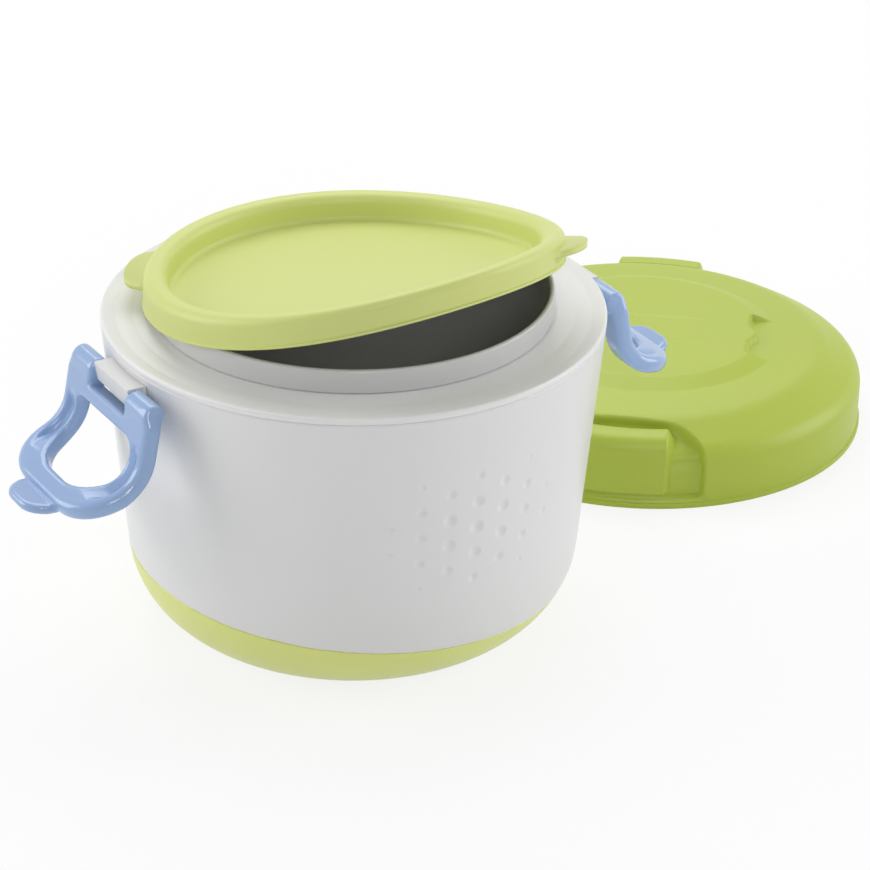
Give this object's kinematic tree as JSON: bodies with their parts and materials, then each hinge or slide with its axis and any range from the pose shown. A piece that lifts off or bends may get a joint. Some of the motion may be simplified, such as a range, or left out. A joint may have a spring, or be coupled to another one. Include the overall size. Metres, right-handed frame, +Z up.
{
  "type": "insulated food jar",
  "caption": "Round insulated food jar with a lift-out bowl, a soft inner lid, a domed outer lid lying beside it and hinged side latches.",
  "frame": {"origin": "on the jar's axis at the underside of its foot pad, on the floor", "axes": "+Z up along the jar's axis; the two latches are on +X and -X; the outer lid lies on the floor on the +X, +Y side"},
  "size_m": [0.3407, 0.2182, 0.1346],
  "materials": {
    "white_body": "satin white",
    "green_base": "satin lime green",
    "foot_rubber": "matt soft pad",
    "white_collar": "satin white",
    "well_plastic": "matt white",
    "foam": "white foam",
    "white_lug": "satin white",
    "blue_latch": "gloss light blue",
    "bowl_grey": "satin pale grey",
    "soft_green": "satin soft lime green",
    "green_lid": "satin lime green",
    "lid_plate": "matt pale green",
    "seal_rubber": "matt soft seal"
  },
  "bodies": {
    "jar": {"outer_shell": "white_body", "base_cup": "green_base", "foot_pad": "foot_rubber", "collar_ring": "white_collar", "well_liner": "well_plastic", "insulation_wall": "foam", "insulation_floor": "foam", "lug_right": "white_lug", "lug_left": "white_lug"},
    "right_latch": {"latch_right": "blue_latch"},
    "left_latch": {"latch_left": "blue_latch"},
    "bowl": {"food_bowl": "bowl_grey"},
    "soft_lid": {"inner_lid": "soft_green"},
    "outer_lid": {"outer_lid_shell": "green_lid", "outer_lid_plate": "lid_plate", "outer_lid_foam": "foam", "outer_lid_gasket": "seal_rubber"}
  },
  "joints": [
    {"name": "right_latch_hinge", "type": "hinge", "parent": "jar", "child": "right_latch", "pos_m": [0.0778, 0, 0.0938], "axis": [0, -1, 0], "range_deg": [0, 160]},
    {"name": "left_latch_hinge", "type": "hinge", "parent": "jar", "child": "left_latch", "pos_m": [-0.0778, 0, 0.0938], "axis": [0, 1, 0], "range_deg": [0, 160]},
    {"name": "bowl_lift", "type": "slide", "parent": "jar", "child": "bowl", "axis": [0, 0, 1], "range_m": [0, 0.12]},
    {"name": "inner_lid_lift", "type": "slide", "parent": "bowl", "child": "soft_lid", "axis": [0, 0, 1], "range_m": [0, 0.08]},
    {"name": "outer_lid_lift", "type": "slide", "parent": "jar", "child": "outer_lid", "axis": [0.4579, 0.2009, 0.866], "range_m": [0, 0.1]}
  ]
}
